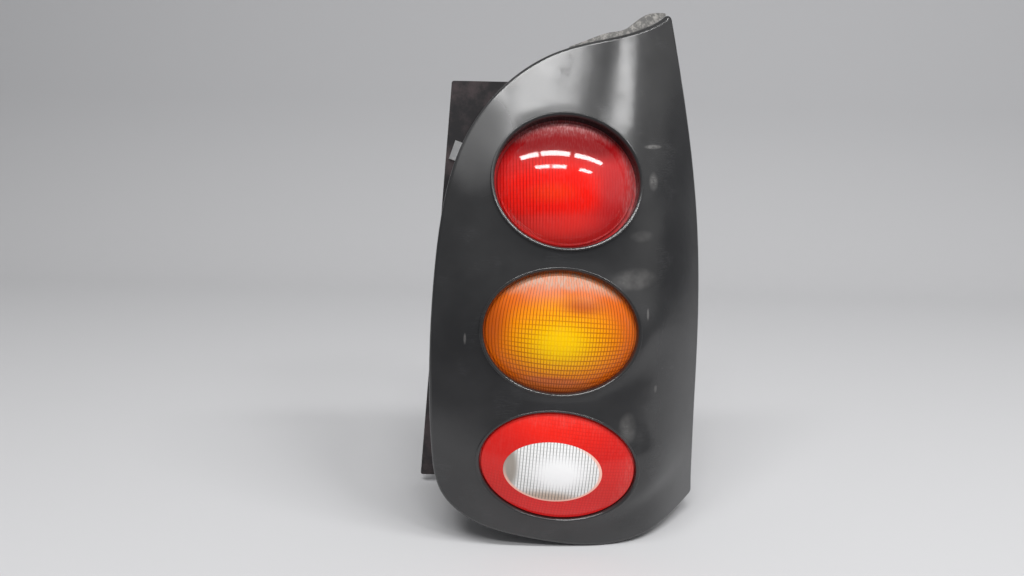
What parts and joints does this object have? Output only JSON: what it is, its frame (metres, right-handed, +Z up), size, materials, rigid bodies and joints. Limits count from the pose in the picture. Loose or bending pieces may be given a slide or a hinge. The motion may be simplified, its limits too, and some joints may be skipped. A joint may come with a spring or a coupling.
{
  "type": "tail light cluster",
  "caption": "Upright car tail light cluster: black wrap-round panel with a red, an amber and a red-and-clear oval lamp over a flat back plate with studs.",
  "frame": {"origin": "seat of the upper mounting stud on the back face of the plate", "axes": "+Z up along the column of lamps, +Y backwards into the car body along the studs, +X to the right as seen from in front of the lamps"},
  "size_m": [0.2392, 0.1396, 0.4154],
  "materials": {
    "panel_black": "worn satin-gloss black moulding",
    "housing_black": "matt dark moulding",
    "lens_red": "polished transparent red",
    "lens_amber": "polished transparent amber",
    "lens_clear": "polished clear",
    "seal_rubber": "matt black",
    "reflector_bright": "bright metallised",
    "holder_plastic": "dark grey moulding",
    "brass": "plain",
    "bulb_glass": "clear",
    "tungsten": "dull",
    "zinc_steel": "zinc plated",
    "foam": "closed-cell foam",
    "clip_steel": "spring steel"
  },
  "bodies": {
    "root": {"front_panel": "panel_black", "housing": "housing_black", "red_lens": "lens_red", "amber_lens": "lens_amber", "reflex_ring_lens": "lens_red", "clear_lens": "lens_clear", "panel_screws": "zinc_steel", "mounting_studs": "zinc_steel", "body_gasket": "foam", "top_edge_seal": "foam", "side_clip": "clip_steel", "upper_lens_seal": "seal_rubber", "upper_reflector": "reflector_bright", "upper_bulb_holder": "holder_plastic", "upper_holder_seal": "seal_rubber", "upper_terminals": "brass", "upper_bulb_cap": "brass", "upper_bulb_glass": "bulb_glass", "upper_filament": "tungsten", "middle_lens_seal": "seal_rubber", "middle_reflector": "reflector_bright", "middle_bulb_holder": "holder_plastic", "middle_holder_seal": "seal_rubber", "middle_terminals": "brass", "middle_bulb_cap": "brass", "middle_bulb_glass": "bulb_glass", "middle_filament": "tungsten", "lower_lens_seal": "seal_rubber", "lower_reflector": "reflector_bright", "lower_bulb_holder": "holder_plastic", "lower_holder_seal": "seal_rubber", "lower_terminals": "brass", "lower_bulb_cap": "brass", "lower_bulb_glass": "bulb_glass", "lower_filament": "tungsten"}
  },
  "joints": []
}
